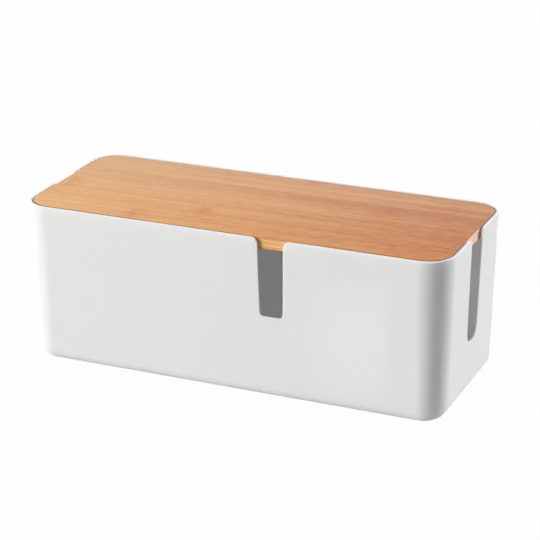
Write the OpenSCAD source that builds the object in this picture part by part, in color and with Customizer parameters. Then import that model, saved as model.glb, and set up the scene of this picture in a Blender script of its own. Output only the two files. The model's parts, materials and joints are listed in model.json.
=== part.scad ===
// Cable management box: a drafted plastic box with open-topped cable slots,
// a flush bamboo lid glued up from staves, and four rubber feet.
// Origin: centre of the footprint, at the level that the feet stand on. +X is the
// long way, -Y is the front with the single cable slot, +Z is up.

/* [Box] */
// Length over the rim
box_length = 320; // [240:5:420]
// Width over the rim
box_width = 130; // [120:5:170]
// Height of the moulding, without the feet
box_height = 120.5; // [100:0.5:150]
// Thickness of the side walls, measured level
wall = 1.6; // [1.3:0.1:3]
// Thickness of the floor
floor_thickness = 2.4; // [2:0.1:4]
// Lean of the walls from upright, in degrees, so that the box leaves its mould
wall_draft = 1.5; // [0.5:0.1:2.5]
// Outer radius of the upright corners at the rim
corner_radius = 20.8; // [18:0.2:30]
// Outer radius between the walls and the underside
base_radius = 13; // [6:0.5:14]

/* [Cable slots] */
// Place of the front slot's centre line along the box
front_slot_x = 34.4; // [-50:0.2:50]
// Width of the front slot between its straight sides, at the rim
front_slot_width = 19.4; // [14:0.2:30]
// Depth of the front slot below the rim
front_slot_depth = 57; // [30:1:65]
// Radius in the bottom corners of the front slot
front_slot_radius = 3.2; // [2:0.2:6]
// Width of each end slot between its straight sides, at the rim
end_slot_width = 24; // [16:0.5:34]
// Depth of each end slot below the rim
end_slot_depth = 78.5; // [40:0.5:82]
// Radius in the bottom corners of each end slot
end_slot_radius = 9; // [3:0.5:10]
// Lean of the slot sides from upright, in degrees
slot_lean = 1.1; // [0.5:0.1:2]
// Radius where the slot sides run out into the rim
slot_mouth_radius = 4.8; // [2:0.2:7]

/* [Lid] */
// Thickness of the bamboo board
lid_thickness = 8; // [6:0.5:12]
// Gap between the lid's edge and the box wall at the rim
lid_gap = 1.3; // [0.7:0.1:1.8]
// Depth of the lid's top face below the rim
lid_recess = 0; // [0:0.1:2]
// Width of a full bamboo stave
stave_width = 23.7; // [20:0.1:28]
// Distance of the joint between the two middle staves behind the centre line
stave_shift = 5.5; // [0:0.1:8]

/* [Lid rests] */
// Thickness of the rib in each corner that the lid rests on
rib_thickness = 2; // [1.2:0.1:3]
// Reach of a rib from the corner's inner face, under the lid
rib_reach = 5; // [4:0.5:8]
// Lean of a rib's free edge from upright, in degrees
rib_draft = 0.5; // [0.2:0.1:1]

/* [Feet] */
// Diameter of a foot
foot_diameter = 12; // [8:0.5:16]
// Height that a foot stands below the box
foot_height = 1.2; // [0.8:0.1:3]
// Depth of the recess that a foot is glued into
foot_recess = 0.8; // [0.4:0.1:1.2]
// Gap round a foot in its recess
foot_gap = 0.1; // [0.05:0.05:0.3]
// Radius round a foot's lower edge
foot_edge = 0.6; // [0.2:0.1:0.8]
// Distance of a foot's centre from the end of the box, at the rim
foot_from_end = 34; // [30:1:70]
// Distance of a foot's centre from the long side of the box, at the rim
foot_from_side = 30; // [27:0.5:40]

/* [Hidden] */
$fn = 72;

past = 1;    // how far a cut runs past the face that it opens
white_plastic = "#ECECEB";
bamboo_light = "#DDB184";
bamboo_warm = "#D6A478";
black_rubber = "#3A3A3C";

// the axis of each upright corner
corner_x = box_length / 2 - corner_radius;
corner_y = box_width / 2 - corner_radius;
rim_z = foot_height + box_height;

// the centres of the feet
foot_x = box_length / 2 - foot_from_end;
foot_y = box_width / 2 - foot_from_side;

// the lid
lid_top_z = rim_z - lid_recess;
lid_under_z = lid_top_z - lid_thickness;
lid_inset = wall + lid_gap;
lid_length = box_length - 2 * lid_inset;
lid_width = box_width - 2 * lid_inset;
lid_radius = corner_radius - lid_inset;

// the joint lines of the lid, front edge to back edge
stave_joints = concat(
    -lid_width / 2,
    [for (i = [-2:2]) stave_shift + i * stave_width],
    lid_width / 2
);

// Half of the cross section of a drafted vessel, from its centre line at x = 0 out to
// a wall that leans outwards by lean, with a round of radius r at the foot of the wall.
// half_top is the half width at the height h. The round overlaps the straight part as
// far as its own centre, so that no seam is left between them.
module half_section(h, half_top, r, lean) {
    half_foot = half_top - h * tan(lean);
    round_x = half_foot - r * (1 - sin(lean)) / cos(lean);
    touch = [round_x + r * cos(lean), r - r * sin(lean)];
    polygon([[0, 0], [round_x, 0], touch, [half_top, h], [0, h]]);
    intersection() {
        translate([round_x, r]) circle(r);
        polygon([[round_x, 0], [half_foot, 0], touch, [round_x, r]]);
    }
}

// The wall and floor in section, with x = 0 on the axis of an upright corner.
module wall_section() {
    difference() {
        half_section(box_height, corner_radius, base_radius, wall_draft);
        translate([0, floor_thickness])
            half_section(
                box_height - floor_thickness, corner_radius - wall, base_radius - wall, wall_draft
            );
        // opens the top, where both sections end level
        translate([0, box_height]) square([corner_radius - wall, past]);
    }
}

// A straight stretch of wall and floor edge, of the given length, centred, with its
// outside towards +X and its corner axes at x = 0.
module wall_stretch(length) {
    rotate([90, 0, 0]) linear_extrude(height = length, center = true) wall_section();
}

// Puts a piece that is drawn about a corner's axis, with the corner towards +X and +Y,
// in one of the four corners, which are counted anticlockwise from the back right.
module at_corner(turn) {
    sx = turn == 0 || turn == 3 ? 1 : -1;
    sy = turn < 2 ? 1 : -1;
    translate([sx * corner_x, sy * corner_y, 0]) rotate([0, 0, turn * 90]) children();
}

// The open box: four corners, four straight walls and the middle of the floor, all
// meeting face to face.
module open_box() {
    for (turn = [0:3]) at_corner(turn) rotate_extrude(angle = 90) wall_section();
    for (side = [0, 180]) {
        rotate([0, 0, side]) translate([corner_x, 0, 0]) wall_stretch(2 * corner_y);
        rotate([0, 0, side + 90]) translate([corner_y, 0, 0]) wall_stretch(2 * corner_x);
    }
    translate([-corner_x, -corner_y, 0]) cube([2 * corner_x, 2 * corner_y, floor_thickness]);
}

// Half of a cable slot's outline, with y = 0 at the rim. The mouth flares out round
// slot_mouth_radius, so that a cable's sheath isn't cut by a corner.
module half_slot(width, depth, r) {
    flare_x = width / 2 + slot_mouth_radius * (1 - sin(slot_lean)) / cos(slot_lean);
    touch_y = slot_mouth_radius * (1 - sin(slot_lean));
    translate([0, -depth]) half_section(depth, width / 2, r, slot_lean);
    difference() {
        translate([0, -touch_y]) square([flare_x, touch_y + past]);
        translate([flare_x, -slot_mouth_radius]) circle(slot_mouth_radius);
    }
}

// The solid that a cable slot takes out of a wall: it runs along +Y through y = 0, and
// its rim level is at the origin.
module slot_cut(width, depth, r) {
    rotate([90, 0, 0]) linear_extrude(height = 2 * corner_radius, center = true) {
        half_slot(width, depth, r);
        mirror([1, 0]) half_slot(width, depth, r);
    }
}

// One corner's lid rest: an upright rib in a plane through the corner's axis, which is
// at x = 0, reaching out along +X. Its free edge runs down into the round above the
// floor, and its back lies inside the wall.
module lid_rib() {
    top = lid_under_z - foot_height;
    edge_top = corner_radius - wall - rib_reach;
    edge_foot = edge_top - top * tan(rib_draft);
    rotate([90, 0, 0])
        linear_extrude(height = rib_thickness, center = true)
            intersection() {
                translate([0, floor_thickness / 2])
                    half_section(
                        box_height - floor_thickness / 2, corner_radius - wall / 2,
                        base_radius - wall / 2, wall_draft
                    );
                polygon([
                    [edge_foot, 0], [corner_radius, 0], [corner_radius, top], [edge_top, top]
                ]);
            }
}

module lid_ribs() {
    for (turn = [0:3]) at_corner(turn) rotate([0, 0, 45]) lid_rib();
}

module foot_recesses() {
    for (x = [-foot_x, foot_x], y = [-foot_y, foot_y])
        translate([x, y, -past])
            cylinder(d = foot_diameter + 2 * foot_gap, h = foot_recess + past);
}

module shell() {
    color(white_plastic)
        translate([0, 0, foot_height])
            difference() {
                union() {
                    open_box();
                    lid_ribs();
                }
                translate([front_slot_x, -box_width / 2, box_height])
                    slot_cut(front_slot_width, front_slot_depth, front_slot_radius);
                for (side = [-1, 1])
                    translate([side * box_length / 2, 0, box_height])
                        rotate([0, 0, 90])
                            slot_cut(end_slot_width, end_slot_depth, end_slot_radius);
                foot_recesses();
            }
}

module lid_outline() {
    square([lid_length - 2 * lid_radius, lid_width], center = true);
    square([lid_length, lid_width - 2 * lid_radius], center = true);
    for (x = [-1, 1], y = [-1, 1])
        translate([x * (lid_length / 2 - lid_radius), y * (lid_width / 2 - lid_radius)])
            circle(lid_radius);
}

// One stave of the lid, counted from the front. Its long edges are the glued joints.
module lid_stave(number) {
    front = stave_joints[number - 1];
    back = stave_joints[number];
    color(number % 2 == 0 ? bamboo_light : bamboo_warm)
        translate([0, 0, lid_under_z])
            linear_extrude(height = lid_thickness)
                intersection() {
                    lid_outline();
                    translate([-lid_length, front]) square([2 * lid_length, back - front]);
                }
}

// One rubber foot, glued into its recess, with its lower edge rounded.
module foot(x, y) {
    r = foot_diameter / 2;
    color(black_rubber)
        translate([x, y, 0])
            rotate_extrude() {
                translate([0, foot_edge]) square([r, foot_height + foot_recess - foot_edge]);
                square([r - foot_edge, foot_edge]);
                translate([r - foot_edge, foot_edge])
                    intersection() {
                        circle(foot_edge);
                        translate([0, -foot_edge]) square(foot_edge);
                    }
            }
}

shell();
lid_stave(1);  // lid_stave_1
lid_stave(2);  // lid_stave_2
lid_stave(3);  // lid_stave_3
lid_stave(4);  // lid_stave_4
lid_stave(5);  // lid_stave_5
lid_stave(6);  // lid_stave_6
foot(-foot_x, -foot_y);  // foot_front_left
foot(foot_x, -foot_y);  // foot_front_right
foot(-foot_x, foot_y);  // foot_back_left
foot(foot_x, foot_y);  // foot_back_right
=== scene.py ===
"""Looks of a cable management box: a white moulded box with open-topped cable slots, a
flush lift-off lid of laminated bamboo, and four rubber feet. Everything is in metres."""

import json
import math

import bmesh
import bpy
from mathutils import Matrix, Vector

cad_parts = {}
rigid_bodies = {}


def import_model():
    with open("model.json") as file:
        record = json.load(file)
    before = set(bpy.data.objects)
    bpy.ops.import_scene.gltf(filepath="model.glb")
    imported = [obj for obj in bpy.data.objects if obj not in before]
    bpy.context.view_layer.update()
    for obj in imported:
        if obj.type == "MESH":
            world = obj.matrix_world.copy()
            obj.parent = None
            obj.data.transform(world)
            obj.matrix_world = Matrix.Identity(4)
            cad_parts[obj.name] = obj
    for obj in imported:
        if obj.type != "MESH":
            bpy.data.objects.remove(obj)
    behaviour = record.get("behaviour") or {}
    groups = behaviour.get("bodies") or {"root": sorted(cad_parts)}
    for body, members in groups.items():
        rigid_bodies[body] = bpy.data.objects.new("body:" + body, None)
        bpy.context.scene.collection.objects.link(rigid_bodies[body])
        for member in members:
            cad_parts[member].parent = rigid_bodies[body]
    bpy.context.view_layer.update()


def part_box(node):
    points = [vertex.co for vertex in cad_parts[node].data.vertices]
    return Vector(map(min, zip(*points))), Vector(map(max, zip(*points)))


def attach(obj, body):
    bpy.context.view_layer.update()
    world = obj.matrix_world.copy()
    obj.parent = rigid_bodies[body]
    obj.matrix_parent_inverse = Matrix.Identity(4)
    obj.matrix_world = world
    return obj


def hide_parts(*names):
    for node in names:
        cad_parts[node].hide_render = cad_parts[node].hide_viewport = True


# the file that Blender starts with may hold a cube, a lamp and a camera
for left_over in list(bpy.data.objects):
    bpy.data.objects.remove(left_over)
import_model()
mm = 0.001

# ---------------------------------------------------------------------------
# The box. One injection moulding in white polypropylene: four walls that lean out to
# leave the mould, a round into the floor, three open-topped cable slots, a rib in each
# corner that the lid rests on, and shallow recesses underneath for the glued feet.

shell_low, shell_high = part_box("shell")
underside = shell_low.z
box_length = shell_high.x - shell_low.x
box_width = shell_high.y - shell_low.y
box_height = shell_high.z - underside
wall = 1.6 * mm
floor_thickness = 2.4 * mm
wall_draft = math.radians(1.5)
corner_radius = 20.8 * mm
base_radius = 13.0 * mm
corner_steps = 24
round_steps = 12

# the axes of the upright corners, and the middle of the wall as seen from them
corner_x = box_length / 2 - corner_radius
corner_y = box_width / 2 - corner_radius
wall_middle = corner_radius - wall / 2


def add(tree, kind, sockets=(), **settings):
    """Adds a node with its settings. A socket is given a value or another node's output."""
    node = tree.nodes.new(kind)
    for name, value in settings.items():
        setattr(node, name, value)
    for name, value in dict(sockets).items():
        if isinstance(value, bpy.types.NodeSocket):
            tree.links.new(value, node.inputs[name])
        else:
            node.inputs[name].default_value = value
    return node


def linear(code):
    """An sRGB hex colour as linear red, green, blue and alpha."""
    values = [int(code[place:place + 2], 16) / 255 for place in (1, 3, 5)]
    return [v / 12.92 if v <= 0.04045 else ((v + 0.055) / 1.055) ** 2.4 for v in values] + [1.0]


def new_material(name):
    """A material and its empty node tree."""
    material = bpy.data.materials.new(name)
    material.use_nodes = True
    material.node_tree.nodes.clear()
    return material, material.node_tree


def moulded_polypropylene():
    """White polypropylene off a finely spark-eroded mould: satin, faintly translucent, so
    that daylight through the wall keeps the inside from going dark."""
    material, tree = new_material("moulded_polypropylene")
    place = add(tree, "ShaderNodeTexCoord").outputs["Object"]
    # flow of the melt: clouds about 60 mm across, a hardly visible change of whiteness
    flow = add(tree, "ShaderNodeTexNoise", {"Vector": place, "Scale": 1 / (60 * mm), "Detail": 2.0})
    white = add(
        tree, "ShaderNodeMix",
        {"Factor": flow.outputs["Fac"], "A": linear("#EFEFEF"), "B": linear("#F3F3F3")},
        data_type="RGBA",
    )
    # the eroded grain is about 0.1 mm; drawn 0.6 mm so that it shows at all
    grain = add(tree, "ShaderNodeTexNoise", {"Vector": place, "Scale": 1 / (0.6 * mm), "Detail": 3.0})
    satin = add(
        tree, "ShaderNodeMapRange", {"Value": grain.outputs["Fac"], "To Min": 0.50, "To Max": 0.62}
    )
    bump = add(
        tree, "ShaderNodeBump",
        {"Height": grain.outputs["Fac"], "Strength": 0.12, "Distance": 0.03 * mm},
    )
    shader = add(
        tree, "ShaderNodeBsdfPrincipled",
        {
            "Base Color": white.outputs["Result"], "Roughness": satin.outputs["Result"],
            "Normal": bump.outputs["Normal"], "IOR": 1.49, "Specular IOR Level": 0.25,
            "Subsurface Weight": 1.0, "Subsurface Radius": (1.0, 1.0, 1.0),
            "Subsurface Scale": 3.0 * mm,
        },
    )
    add(tree, "ShaderNodeOutputMaterial", {"Surface": shader.outputs["BSDF"]})
    return material


white_plastic = moulded_polypropylene()


def new_piece(name, points=(), edges=(), faces=()):
    """An object at the origin with a mesh of these points."""
    mesh = bpy.data.meshes.new(name)
    mesh.from_pydata([Vector(point) for point in points], edges, faces)
    piece = bpy.data.objects.new(name, mesh)
    bpy.context.scene.collection.objects.link(piece)
    return piece


def drafted_section(height, top, radius, lean):
    """Half of a vessel's outline, from the flat underside out round the foot and up the
    leaning wall, as (distance from the corner axis, height) pairs."""
    foot = top - height * math.tan(lean)
    centre = foot - radius * (1 - math.sin(lean)) / math.cos(lean)
    turn = math.pi / 2 - lean
    points = []
    for step in range(round_steps + 1):
        angle = -math.pi / 2 + turn * step / round_steps
        points.append((centre + radius * math.cos(angle), radius + radius * math.sin(angle)))
    return points + [(top, height)]


outer = drafted_section(box_height, corner_radius, base_radius, wall_draft)
inner = drafted_section(
    box_height - floor_thickness, corner_radius - wall, base_radius - wall, wall_draft
)
section = outer + [(reach, height + floor_thickness) for reach, height in reversed(inner)]
box = new_piece(
    "moulded_box",
    [(reach - wall_middle, -height, 0) for reach, height in section],
    [(i, i + 1) for i in range(len(section) - 1)],
)


def shape_tree(name, **inputs):
    """A Geometry Nodes tree with a Geometry input, the named inputs and a Geometry output."""
    tree = bpy.data.node_groups.new(name, "GeometryNodeTree")
    tree.interface.new_socket("Geometry", in_out="OUTPUT", socket_type="NodeSocketGeometry")
    tree.interface.new_socket("Geometry", in_out="INPUT", socket_type="NodeSocketGeometry")
    for label, kind in inputs.items():
        tree.interface.new_socket(label, in_out="INPUT", socket_type="NodeSocket" + kind)
    return tree, tree.nodes.new("NodeGroupInput").outputs


def close_tree(tree, geometry, material):
    """Ends a tree: smooth shading, instances made real, and the material."""
    smooth = add(tree, "GeometryNodeSetShadeSmooth", {"Geometry": geometry})
    real = add(tree, "GeometryNodeRealizeInstances", {"Geometry": smooth.outputs[0]})
    coated = add(
        tree, "GeometryNodeSetMaterial", {"Geometry": real.outputs[0], "Material": material}
    )
    add(tree, "NodeGroupOutput", {"Geometry": coated.outputs[0]})


def make_plain(piece):
    """Turns a piece and its modifiers into a plain mesh."""
    depsgraph = bpy.context.evaluated_depsgraph_get()
    depsgraph.update()
    mesh = bpy.data.meshes.new_from_object(piece.evaluated_get(depsgraph), depsgraph=depsgraph)
    piece.modifiers.clear()
    piece.data = mesh


def grow(piece, tree, **values):
    """Runs a tree on a piece with these input values and leaves a plain mesh."""
    modifier = piece.modifiers.new(tree.name, "NODES")
    modifier.node_group = tree
    for item in tree.interface.items_tree:
        if item.in_out == "INPUT" and item.name in values:
            modifier[item.identifier] = values[item.name]
    make_plain(piece)


# the section of wall and floor is swept round the middle of the wall in plan
sweep, given = shape_tree(
    "sweep_wall_round_box", Length="Float", Width="Float", Radius="Float", Steps="Int",
    Underside="Float", Material="Material",
)
profile = add(sweep, "GeometryNodeMeshToCurve", {"Mesh": given["Geometry"]})
plan = add(
    sweep, "GeometryNodeCurvePrimitiveQuadrilateral",
    {"Width": given["Length"], "Height": given["Width"]},
)
rounded = add(
    sweep, "GeometryNodeFilletCurve",
    {"Curve": plan.outputs["Curve"], "Count": given["Steps"], "Radius": given["Radius"]},
    mode="POLY",
)
upright = add(sweep, "GeometryNodeSetCurveNormal", {"Curve": rounded.outputs["Curve"]}, mode="Z_UP")
swept = add(
    sweep, "GeometryNodeCurveToMesh",
    {"Curve": upright.outputs["Curve"], "Profile Curve": profile.outputs["Curve"]},
)
lift = add(sweep, "ShaderNodeCombineXYZ", {"Z": given["Underside"]})
raised = add(
    sweep, "GeometryNodeTransform",
    {"Geometry": swept.outputs["Mesh"], "Translation": lift.outputs["Vector"]},
)
close_tree(sweep, raised.outputs["Geometry"], given["Material"])
grow(
    box, sweep, Length=2 * (corner_x + wall_middle), Width=2 * (corner_y + wall_middle),
    Radius=wall_middle, Steps=corner_steps, Underside=underside, Material=white_plastic,
)


def prism(mesh, outline, low, high, place):
    """Adds a closed solid to a bmesh: the outline's (u, v) points at low and high."""
    ends = [[mesh.verts.new(place(u, v, w)) for u, v in outline] for w in (low, high)]
    for end in ends:
        mesh.faces.new(end)
    for here in range(len(outline)):
        last = here - 1
        mesh.faces.new((ends[0][last], ends[0][here], ends[1][here], ends[1][last]))


def finish_solids(mesh, piece):
    """Points every face of a bmesh outwards and puts it into a piece."""
    bmesh.ops.recalc_face_normals(mesh, faces=mesh.faces)
    mesh.to_mesh(piece.data)
    mesh.free()


# one lid rest, an upright rib that reaches 5 mm in from the wall of its corner and runs
# down into the round above the floor; then one in each corner
rest_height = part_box("lid_stave_3")[0].z - underside
rib_thickness = 2.0 * mm
rib_reach = 5.0 * mm
rib_draft = math.radians(0.5)
rib_edge = corner_radius - wall - rib_reach
wall_at_rest = wall_middle - (box_height - rest_height) * math.tan(wall_draft)
middle = [
    (reach, height + floor_thickness / 2)
    for reach, height in drafted_section(
        box_height - floor_thickness / 2, wall_middle, base_radius - wall / 2, wall_draft
    )
]
rib_outline = [(rib_edge, rest_height), (wall_at_rest, rest_height)]
for reach, height in reversed(middle[:-1]):
    if reach < rib_edge - (rest_height - height) * math.tan(rib_draft):
        break
    rib_outline.append((reach, height))
ribs = new_piece("lid_rest_ribs")
solid = bmesh.new()
prism(
    solid, rib_outline, -rib_thickness / 2, rib_thickness / 2,
    lambda reach, height, across: (reach, across, underside + height),
)
finish_solids(solid, ribs)

corners, given = shape_tree(
    "one_in_each_corner", Length="Float", Width="Float", Material="Material"
)
places = add(
    corners, "GeometryNodeMeshGrid",
    {"Size X": given["Length"], "Size Y": given["Width"], "Vertices X": 2, "Vertices Y": 2},
)
where = add(corners, "GeometryNodeInputPosition")
outwards = add(corners, "ShaderNodeVectorMath", {0: where.outputs[0]}, operation="SIGN")
facing = add(corners, "FunctionNodeAlignRotationToVector", {"Vector": outwards.outputs[0]}, axis="X")
copies = add(
    corners, "GeometryNodeInstanceOnPoints",
    {
        "Points": places.outputs["Mesh"], "Instance": given["Geometry"],
        "Rotation": facing.outputs["Rotation"],
    },
)
close_tree(corners, copies.outputs["Instances"], given["Material"])
grow(ribs, corners, Length=2 * corner_x, Width=2 * corner_y, Material=white_plastic)

slot_lean = math.radians(1.1)
mouth_radius = 4.8 * mm
# how far a cut runs past the face that it opens
past = 1.0 * mm


def slot_outline(width, depth, radius):
    """The outline of a cable slot, with the rim at height 0, past which it runs."""
    flare = width / 2 + mouth_radius * (1 - math.sin(slot_lean)) / math.cos(slot_lean)
    half = [(flare, past)]
    for step in range(round_steps + 1):
        angle = math.pi / 2 + (math.pi / 2 - slot_lean) * step / round_steps
        half.append(
            (flare + mouth_radius * math.cos(angle), mouth_radius * (math.sin(angle) - 1))
        )
    foot = drafted_section(depth, width / 2, radius, slot_lean)
    half += [(reach, height - depth) for reach, height in reversed(foot[:-1])]
    return half + [(-across, height) for across, height in reversed(half)]


front_slot_x = 34.4 * mm
front_slot = slot_outline(width=19.4 * mm, depth=57.0 * mm, radius=3.2 * mm)
end_slot = slot_outline(width=24.0 * mm, depth=78.5 * mm, radius=9.0 * mm)
solid = bmesh.new()
prism(
    solid, front_slot, corner_y, box_width / 2 + past,
    lambda across, height, depth: (front_slot_x + across, -depth, shell_high.z + height),
)
for side in (-1, 1):
    prism(
        solid, end_slot, corner_x, box_length / 2 + past,
        lambda across, height, depth: (side * depth, across, shell_high.z + height),
    )

disc_steps = 48


def disc_cut(mesh, x, y, radius, low, high):
    """Adds an upright round cutter to a bmesh."""
    turn = [math.tau * step / disc_steps for step in range(disc_steps)]
    outline = [(x + radius * math.cos(angle), y + radius * math.sin(angle)) for angle in turn]
    prism(mesh, outline, low, high, lambda u, v, w: (u, v, w))


foot_low, foot_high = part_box("foot_back_right")
foot_radius = (foot_high.x - foot_low.x) / 2
foot_x = (foot_high.x + foot_low.x) / 2
foot_y = (foot_high.y + foot_low.y) / 2
foot_gap = 0.1 * mm
for x in (-foot_x, foot_x):
    for y in (-foot_y, foot_y):
        disc_cut(solid, x, y, foot_radius + foot_gap, underside - past, foot_high.z)
# the round marks that the ejector pins leave in the floor
pin_radius = 4.0 * mm
pin_depth = 0.15 * mm
inner_floor = underside + floor_thickness
for x in (-100 * mm, -34 * mm, 34 * mm, 100 * mm):
    for y in (-28 * mm, 28 * mm):
        disc_cut(solid, x, y, pin_radius, inner_floor - pin_depth, inner_floor + past)
cutters = new_piece("cutters")
finish_solids(solid, cutters)

# the sweep leaves the middle of the floor open above and below; both holes are filled,
# and then the ribs are joined on and the cuts made
solid = bmesh.new()
solid.from_mesh(box.data)
bmesh.ops.holes_fill(solid, edges=[e for e in solid.edges if e.is_boundary], sides=0)
finish_solids(solid, box)
for tool, operation in ((ribs, "UNION"), (cutters, "DIFFERENCE")):
    work = box.modifiers.new(tool.name, "BOOLEAN")
    work.object = tool
    work.operation = operation
    work.solver = "EXACT"
make_plain(box)
for tool in (ribs, cutters):
    bpy.data.objects.remove(tool)

# the rim and the edges of the slots are rounded, and the marks and recesses in the
# floor are left sharp
edge_round = 0.25 * mm
same_place = 0.001 * mm
cut_angle = math.radians(40)
crease_angle = math.radians(50)
solid = bmesh.new()
solid.from_mesh(box.data)
bmesh.ops.remove_doubles(solid, verts=solid.verts, dist=same_place)
sharp = [
    e for e in solid.edges
    if e.is_manifold and e.is_convex and e.calc_face_angle() > cut_angle
    and min(v.co.z for v in e.verts) > inner_floor + past
]
bmesh.ops.bevel(
    solid, geom=sharp, offset=edge_round, segments=3, profile=0.5, affect="EDGES",
    clamp_overlap=True,
)
finish_solids(solid, box)


def coat(piece, material):
    """Gives the whole of a piece one material."""
    piece.data.materials.clear()
    piece.data.materials.append(material)


def shade_evenly(piece):
    """Smooth shading that keeps flat faces flat beside the small rounds."""
    for face in piece.data.polygons:
        face.use_smooth = True
    piece.data.set_sharp_from_angle(angle=crease_angle)
    even = piece.modifiers.new("even_shading", "WEIGHTED_NORMAL")
    even.keep_sharp = True


coat(box, white_plastic)
shade_evenly(box)
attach(box, "box")
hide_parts("shell")

# ---------------------------------------------------------------------------
# The feet. Four discs of soft dark rubber with a rounded lower edge, die-moulded and
# glued into the recesses under the box's corners.


def moulded_rubber():
    """Dark rubber as moulded: matt, with a faint bloom in patches."""
    material, tree = new_material("moulded_rubber")
    place = add(tree, "ShaderNodeTexCoord").outputs["Object"]
    # the bloom lies in patches about 3 mm across
    bloom = add(tree, "ShaderNodeTexNoise", {"Vector": place, "Scale": 1 / (3 * mm), "Detail": 3.0})
    colour = add(
        tree, "ShaderNodeMix",
        {"Factor": bloom.outputs["Fac"], "A": linear("#303032"), "B": linear("#3E3E41")},
        data_type="RGBA",
    )
    matt = add(
        tree, "ShaderNodeMapRange", {"Value": bloom.outputs["Fac"], "To Min": 0.7, "To Max": 0.85}
    )
    # the grain of the mould, 0.4 mm
    grain = add(tree, "ShaderNodeTexNoise", {"Vector": place, "Scale": 1 / (0.4 * mm), "Detail": 2.0})
    bump = add(
        tree, "ShaderNodeBump",
        {"Height": grain.outputs["Fac"], "Strength": 0.2, "Distance": 0.03 * mm},
    )
    shader = add(
        tree, "ShaderNodeBsdfPrincipled",
        {
            "Base Color": colour.outputs["Result"], "Roughness": matt.outputs["Result"],
            "Normal": bump.outputs["Normal"], "IOR": 1.52,
        },
    )
    add(tree, "ShaderNodeOutputMaterial", {"Surface": shader.outputs["BSDF"]})
    return material


black_rubber = moulded_rubber()
foot_edge = 0.6 * mm
edge_steps = 4
foot_outline = [(0.0, foot_low.z)]
for step in range(edge_steps + 1):
    angle = -math.pi / 2 + math.pi / 2 * step / edge_steps
    foot_outline.append((
        foot_radius - foot_edge + foot_edge * math.cos(angle),
        foot_low.z + foot_edge + foot_edge * math.sin(angle),
    ))
foot_outline += [(foot_radius, foot_high.z), (0.0, foot_high.z)]
turning_radius = foot_radius / 2
feet = new_piece(
    "rubber_feet",
    [(reach - turning_radius, -height, 0) for reach, height in foot_outline],
    [(i, i + 1) for i in range(len(foot_outline) - 1)],
)

# half of the foot's outline is turned about its axis, and one foot set at each place
four, given = shape_tree(
    "turned_foot_at_four_places", Radius="Float", Steps="Int", Length="Float",
    Width="Float", Material="Material",
)
profile = add(four, "GeometryNodeMeshToCurve", {"Mesh": given["Geometry"]})
circle = add(
    four, "GeometryNodeCurvePrimitiveCircle",
    {"Resolution": given["Steps"], "Radius": given["Radius"]},
)
upright = add(four, "GeometryNodeSetCurveNormal", {"Curve": circle.outputs["Curve"]}, mode="Z_UP")
turned = add(
    four, "GeometryNodeCurveToMesh",
    {"Curve": upright.outputs["Curve"], "Profile Curve": profile.outputs["Curve"]},
)
closed = add(
    four, "GeometryNodeMergeByDistance",
    {"Geometry": turned.outputs["Mesh"], "Distance": same_place},
)
places = add(
    four, "GeometryNodeMeshGrid",
    {"Size X": given["Length"], "Size Y": given["Width"], "Vertices X": 2, "Vertices Y": 2},
)
copies = add(
    four, "GeometryNodeInstanceOnPoints",
    {"Points": places.outputs["Mesh"], "Instance": closed.outputs["Geometry"]},
)
close_tree(four, copies.outputs["Instances"], given["Material"])
grow(
    feet, four, Radius=turning_radius, Steps=disc_steps, Length=2 * foot_x, Width=2 * foot_y,
    Material=black_rubber,
)
coat(feet, black_rubber)
feet.data.set_sharp_from_angle(angle=crease_angle)
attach(feet, "box")
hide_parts("foot_front_left", "foot_front_right", "foot_back_left", "foot_back_right")

# ---------------------------------------------------------------------------
# The lid. Six staves of carbonised bamboo, glued edge to edge, cut to the box's plan,
# sanded flush and sealed with a thin matt lacquer, with the outer edges eased.

stave_boxes = [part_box(f"lid_stave_{number}") for number in range(1, 7)]
lid_low = Vector([min(low[axis] for low, high in stave_boxes) for axis in range(3)])
lid_high = Vector([max(high[axis] for low, high in stave_boxes) for axis in range(3)])
lid_gap = 1.3 * mm
lid_radius = corner_radius - wall - lid_gap
eased = 0.3 * mm
# what differs from stave to stave: how dark it is, its share of pink, the part of the
# culm that it comes from, and where its knuckle lies
stave_traits = ("tone", "pink", "shift", "knuckle")


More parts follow.
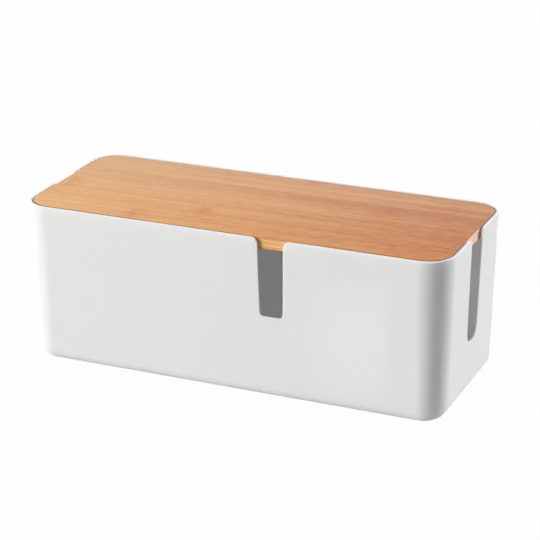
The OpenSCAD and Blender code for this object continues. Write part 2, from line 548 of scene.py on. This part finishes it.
def laminated_bamboo():
    """Carbonised bamboo, sanded and sealed with a thin matt lacquer: straight streaks of
    fibre along X, a patch of flecks at each knuckle, paler edges and open end grain."""
    material, tree = new_material("laminated_bamboo")
    place = add(tree, "ShaderNodeTexCoord").outputs["Object"]
    axes = add(tree, "ShaderNodeSeparateXYZ", {"Vector": place})
    trait = {}
    for label in stave_traits:
        value = add(tree, "ShaderNodeAttribute", attribute_name="stave_" + label)
        trait[label] = value.outputs["Fac"]
    culm = add(tree, "ShaderNodeCombineXYZ", {"X": trait["shift"], "Z": trait["shift"]})
    culm = add(tree, "ShaderNodeVectorMath", {0: place, 1: culm.outputs[0]}, operation="ADD")

    def streaks(length, width, detail):
        """Soft streaks of this length along the fibre and this width across it."""
        size = (1 / length, 1 / width, 1 / width)
        along = add(tree, "ShaderNodeMapping", {"Vector": culm.outputs[0], "Scale": size})
        streak = add(
            tree, "ShaderNodeTexNoise", {"Vector": along.outputs[0], "Scale": 1.0, "Detail": detail}
        )
        return streak.outputs["Fac"]

    # how dark the wood is: the stave's own tone, slow changes along the culm, bundles of
    # fibres 1.8 mm across, single fibres, drawn 0.8 mm across so that they show, short
    # flecks, and a slow darkening along the lid
    fibres = streaks(60 * mm, 0.8 * mm, 2.0)
    dark = trait["tone"]
    for pattern, weight in (
        (streaks(400 * mm, 9 * mm, 1.0), 0.62),
        (streaks(220 * mm, 1.8 * mm, 2.0), 0.60),
        (fibres, 0.65),
        (streaks(9 * mm, 1.4 * mm, 1.0), 0.65),
        (axes.outputs["X"], 2.3),
    ):
        dark = add(
            tree, "ShaderNodeMath", {0: pattern, 1: weight, 2: dark}, operation="MULTIPLY_ADD"
        ).outputs[0]
    ramp = add(tree, "ShaderNodeValToRGB", {"Fac": dark})
    stops = ramp.color_ramp.elements
    stops[0].color = linear("#E4B179")
    stops[1].color = linear("#B05F2B")
    stops.new(0.5).color = linear("#D3955E")
    wood = add(
        tree, "ShaderNodeMix",
        {"Factor": trait["pink"], "A": ramp.outputs["Color"], "B": linear("#C39F8B")},
        data_type="RGBA",
    )

    # the knuckles, one in every 291 mm of the culm: a wavering brown scar that is broken
    # in places, in a patch where the fibres dive and show as short flecks
    internode = 291 * mm
    wander = 14 * mm
    waver = add(tree, "ShaderNodeTexNoise", {"Vector": culm.outputs[0], "Scale": 1 / (12 * mm)})
    off = add(
        tree, "ShaderNodeMath", {0: axes.outputs["X"], 1: trait["knuckle"]}, operation="SUBTRACT"
    )
    off = add(
        tree, "ShaderNodeMath", {0: waver.outputs["Fac"], 1: wander, 2: off.outputs[0]},
        operation="MULTIPLY_ADD",
    )
    off = add(tree, "ShaderNodeMath", {0: off.outputs[0], 1: wander / 2}, operation="SUBTRACT")
    off = add(
        tree, "ShaderNodeMath", {0: off.outputs[0], 1: internode / 2, 2: -internode / 2},
        operation="WRAP",
    )
    off = add(tree, "ShaderNodeMath", {0: off.outputs[0]}, operation="ABSOLUTE").outputs[0]
    # the scar, then the flecks: the pattern, the levels of it between which a mark comes
    # up, how near the knuckle it is full and how far off it has gone, and its strength
    brown = []
    for pattern, low, high, near, far, strength in (
        (streaks(9 * mm, 5 * mm, 1.0), 0.42, 0.66, 0.5 * mm, 4 * mm, 0.24),
        (streaks(7 * mm, 1.2 * mm, 1.0), 0.46, 0.66, 3 * mm, 16 * mm, 0.40),
    ):
        patch = add(
            tree, "ShaderNodeMapRange",
            {"Value": off, "From Min": near, "From Max": far, "To Min": strength, "To Max": 0.0},
            interpolation_type="SMOOTHSTEP",
        )
        marks = add(
            tree, "ShaderNodeMapRange", {"Value": pattern, "From Min": low, "From Max": high}
        )
        brown.append(add(
            tree, "ShaderNodeMath", {0: patch.outputs[0], 1: marks.outputs[0]},
            operation="MULTIPLY",
        ).outputs[0])
    # the glue lines: darker resin that fades out 0.3 mm to each side of a joint
    joint = stave_boxes[2][1].y
    pitch = joint - stave_boxes[2][0].y
    glue = add(tree, "ShaderNodeMath", {0: axes.outputs["Y"], 1: joint}, operation="SUBTRACT")
    glue = add(tree, "ShaderNodeMath", {0: glue.outputs[0], 1: pitch / 2}, operation="PINGPONG")
    glue = add(
        tree, "ShaderNodeMapRange",
        {"Value": glue.outputs[0], "From Max": 0.3 * mm, "To Min": 0.35, "To Max": 0.0},
    )
    brown.append(glue.outputs[0])
    for darker in brown:
        wood = add(
            tree, "ShaderNodeMix",
            {"Factor": darker, "A": wood.outputs["Result"], "B": linear("#A3541A")},
            data_type="RGBA",
        )

    # the sides of the outer staves are freshly cut and paler; at the ends of the board the
    # cut bundles show as dots about 1.2 mm apart
    faces = add(tree, "ShaderNodeNewGeometry")
    faces = add(tree, "ShaderNodeSeparateXYZ", {"Vector": faces.outputs["Normal"]})
    bundles = streaks(60 * mm, 0.9 * mm, 1.0)
    bundles = add(
        tree, "ShaderNodeMapRange", {"Value": bundles, "From Min": 0.36, "From Max": 0.64}
    )
    side_grain = add(
        tree, "ShaderNodeMix",
        {"Factor": bundles.outputs[0], "A": linear("#FFD29B"), "B": linear("#D6985C")},
        data_type="RGBA",
    )
    dots = add(tree, "ShaderNodeTexVoronoi", {"Vector": culm.outputs[0], "Scale": 1 / (1.2 * mm)})
    end_grain = add(
        tree, "ShaderNodeMix",
        {"Factor": dots.outputs["Distance"], "A": linear("#D8A990"), "B": linear("#FBD5C3")},
        data_type="RGBA",
    )
    for axis, cut in (("Y", side_grain), ("X", end_grain)):
        steep = add(tree, "ShaderNodeMath", {0: faces.outputs[axis]}, operation="ABSOLUTE")
        steep = add(
            tree, "ShaderNodeMapRange", {"Value": steep.outputs[0], "From Min": 0.6, "From Max": 0.85}
        )
        wood = add(
            tree, "ShaderNodeMix",
            {"Factor": steep.outputs[0], "A": wood.outputs["Result"], "B": cut.outputs["Result"]},
            data_type="RGBA",
        )
    # painted shade: the eased outer edges are darkened to stand for the shadow in the narrow gap
    # between the lid and the box's walls; they are where the surface faces neither nearly straight up
    # or down nor nearly level
    bend = add(tree, "ShaderNodeMath", {0: faces.outputs["Z"]}, operation="ABSOLUTE")
    bend = add(tree, "ShaderNodeMath", {0: bend.outputs[0], 1: 0.5}, operation="SUBTRACT")
    bend = add(tree, "ShaderNodeMath", {0: bend.outputs[0]}, operation="ABSOLUTE")
    painted_gap_shade = add(
        tree, "ShaderNodeMapRange",
        {"Value": bend.outputs[0], "From Min": 0.38, "From Max": 0.48, "To Min": 0.8, "To Max": 0.0},
    )
    # the painted shade of the gap is mixed into the eased edges
    wood = add(
        tree, "ShaderNodeMix",
        {"Factor": painted_gap_shade.outputs[0], "A": wood.outputs["Result"], "B": linear("#6B4426")},
        data_type="RGBA",
    )

    matt = add(tree, "ShaderNodeMapRange", {"Value": fibres, "To Min": 0.42, "To Max": 0.6})
    bump = add(
        tree, "ShaderNodeBump", {"Height": fibres, "Strength": 0.15, "Distance": 0.04 * mm}
    )
    shader = add(
        tree, "ShaderNodeBsdfPrincipled",
        {
            "Base Color": wood.outputs["Result"], "Roughness": matt.outputs["Result"],
            "Normal": bump.outputs["Normal"], "IOR": 1.5, "Specular IOR Level": 0.35,
        },
    )
    add(tree, "ShaderNodeOutputMaterial", {"Surface": shader.outputs["BSDF"]})
    return material


bamboo = laminated_bamboo()


def lid_board():
    """The whole board as a bmesh, with its upper and lower outer edges eased."""
    board = bmesh.new()
    outline = []
    for corner, (x, y) in enumerate(((1, 1), (-1, 1), (-1, -1), (1, -1))):
        for step in range(corner_steps + 1):
            angle = math.pi / 2 * (corner + step / corner_steps)
            outline.append((
                x * (lid_high.x - lid_radius) + lid_radius * math.cos(angle),
                y * (lid_high.y - lid_radius) + lid_radius * math.sin(angle),
            ))
    prism(board, outline, lid_low.z, lid_high.z, lambda u, v, w: (u, v, w))
    board.normal_update()
    rims = [e for e in board.edges if e.calc_face_angle() > cut_angle]
    bmesh.ops.bevel(board, geom=rims, offset=eased, segments=3, profile=0.5, affect="EDGES")
    return board


# the traits of each stave, from the front to the back
staves = (
    (-0.84, 0.00, 0.31, -75 * mm),
    (-0.84, 0.03, 0.77, -33 * mm),
    (-0.82, 0.12, 1.13, -149 * mm),
    (-0.74, 0.20, 1.61, 92 * mm),
    (-0.84, 0.26, 2.09, 128 * mm),
    (-0.75, 0.42, 2.57, 17 * mm),
)
for number, (traits, (low, high)) in enumerate(zip(staves, stave_boxes), 1):
    board = lid_board()
    for y, side in ((low.y, -1), (high.y, 1)):
        # the front and back of the whole board have no joint
        if abs(y - lid_low.y) < mm or abs(y - lid_high.y) < mm:
            continue
        cut = bmesh.ops.bisect_plane(
            board, geom=board.verts[:] + board.edges[:] + board.faces[:],
            plane_co=(0, y, 0), plane_no=(0, side, 0), clear_outer=True,
        )
        loop = [part for part in cut["geom_cut"] if isinstance(part, bmesh.types.BMEdge)]
        bmesh.ops.contextual_create(board, geom=loop)
    stave = new_piece(f"bamboo_stave_{number}")
    finish_solids(board, stave)
    for label, value in zip(stave_traits, traits):
        kept = stave.data.attributes.new("stave_" + label, "FLOAT", "POINT")
        kept.data.foreach_set("value", [value] * len(stave.data.vertices))
    coat(stave, bamboo)
    shade_evenly(stave)
    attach(stave, "lid")
    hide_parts(f"lid_stave_{number}")

# ---------------------------------------------------------------------------
# The studio. A table covered with matt paper that runs out of sight, a large soft lamp at
# the front left and one at the back right, a smaller one overhead, and the camera.

table_reach = 6.0
floor = new_piece(
    "white_table",
    [(x * table_reach, y * table_reach, 0) for x, y in ((-1, -1), (1, -1), (1, 1), (-1, 1))],
    faces=[(0, 1, 2, 3)],
)


def seen_by_eye(tree):
    """1 for what the camera sees, straight or in gloss or glass, and 0 for light on the box."""
    ray = add(tree, "ShaderNodeLightPath")
    seen = ray.outputs["Is Camera Ray"]
    for kind in ("Is Glossy Ray", "Is Transmission Ray"):
        seen = add(
            tree, "ShaderNodeMath", {0: seen, 1: ray.outputs[kind]}, operation="MAXIMUM"
        ).outputs[0]
    return seen


def matt_paper():
    """Matt paper that lights the box as pale grey card does and that the eye sees white,
    apart from a small share that still takes the box's shadow."""
    material, tree = new_material("white_paper")
    sheet = add(
        tree, "ShaderNodeBsdfPrincipled", {"Base Color": linear("#C7C7C7"), "Roughness": 0.9}
    )
    glow = add(tree, "ShaderNodeEmission", {"Color": linear("#FFFFFF"), "Strength": 1.0})
    share = add(
        tree, "ShaderNodeMath", {0: seen_by_eye(tree), 1: 0.97}, operation="MULTIPLY"
    )
    mixed = add(
        tree, "ShaderNodeMixShader",
        {0: share.outputs[0], 1: sheet.outputs[0], 2: glow.outputs[0]},
    )
    add(tree, "ShaderNodeOutputMaterial", {"Surface": mixed.outputs[0]})
    return material


coat(floor, matt_paper())

# a room that the eye sees white and that gives next to no light
world = bpy.data.worlds.new("studio")
bpy.context.scene.world = world
world.use_nodes = True
room = world.node_tree
room.nodes.clear()
level = add(
    room, "ShaderNodeMapRange", {"Value": seen_by_eye(room), "To Min": 0.01, "To Max": 1.0}
)
sky = add(
    room, "ShaderNodeBackground", {"Color": linear("#FFFFFF"), "Strength": level.outputs[0]}
)
add(room, "ShaderNodeOutputWorld", {"Surface": sky.outputs[0]})

box_middle = Vector((0, 0, shell_high.z / 2))


def way_out(azimuth, elevation):
    """The direction from the box to something this far round from the front and this far up."""
    return Vector((
        math.sin(azimuth) * math.cos(elevation), -math.cos(azimuth) * math.cos(elevation),
        math.sin(elevation),
    ))


def lamp(name, azimuth, elevation, distance, size, power):
    """A square soft lamp aimed at the box: degrees round and up, metres and watts."""
    data = bpy.data.lights.new(name, "AREA")
    data.shape = "SQUARE"
    data.size = size
    data.energy = power
    way = way_out(math.radians(azimuth), math.radians(elevation))
    light = bpy.data.objects.new(name, data)
    light.location = box_middle + way * distance
    light.rotation_euler = way.to_track_quat("Z", "Y").to_euler()
    bpy.context.scene.collection.objects.link(light)


lamp("front_left_lamp", azimuth=-45, elevation=12, distance=4.0, size=2.0, power=158)
lamp("right_back_lamp", azimuth=133, elevation=15, distance=4.0, size=1.6, power=139)
lamp("top_lamp", azimuth=0, elevation=90, distance=2.5, size=1.2, power=35)

# the camera stands this far round and up, tilted a little to one side, and looks past
# its target by this much to the right and above
azimuth = math.radians(23.648)
elevation = math.radians(21.198)
roll = math.radians(-0.377)
distance = 1418.28 * mm
target = Vector((0, 0, 53.2 * mm))
past_right = 5.428 * mm
past_above = 17.285 * mm
back = way_out(azimuth, elevation)
level_right = Vector((math.cos(azimuth), math.sin(azimuth), 0))
level_up = back.cross(level_right)
right = math.cos(roll) * level_right + math.sin(roll) * level_up
up = math.cos(roll) * level_up - math.sin(roll) * level_right
place = target + past_right * right + past_above * up + distance * back
lens = bpy.data.cameras.new("camera")
lens.sensor_width = 36
lens.lens = 131.2173
camera = bpy.data.objects.new("camera", lens)
camera.matrix_world = Matrix.Translation(place) @ Matrix((right, up, back)).transposed().to_4x4()
bpy.context.scene.collection.objects.link(camera)
bpy.context.scene.camera = camera
bpy.context.scene.view_settings.view_transform = "Standard"
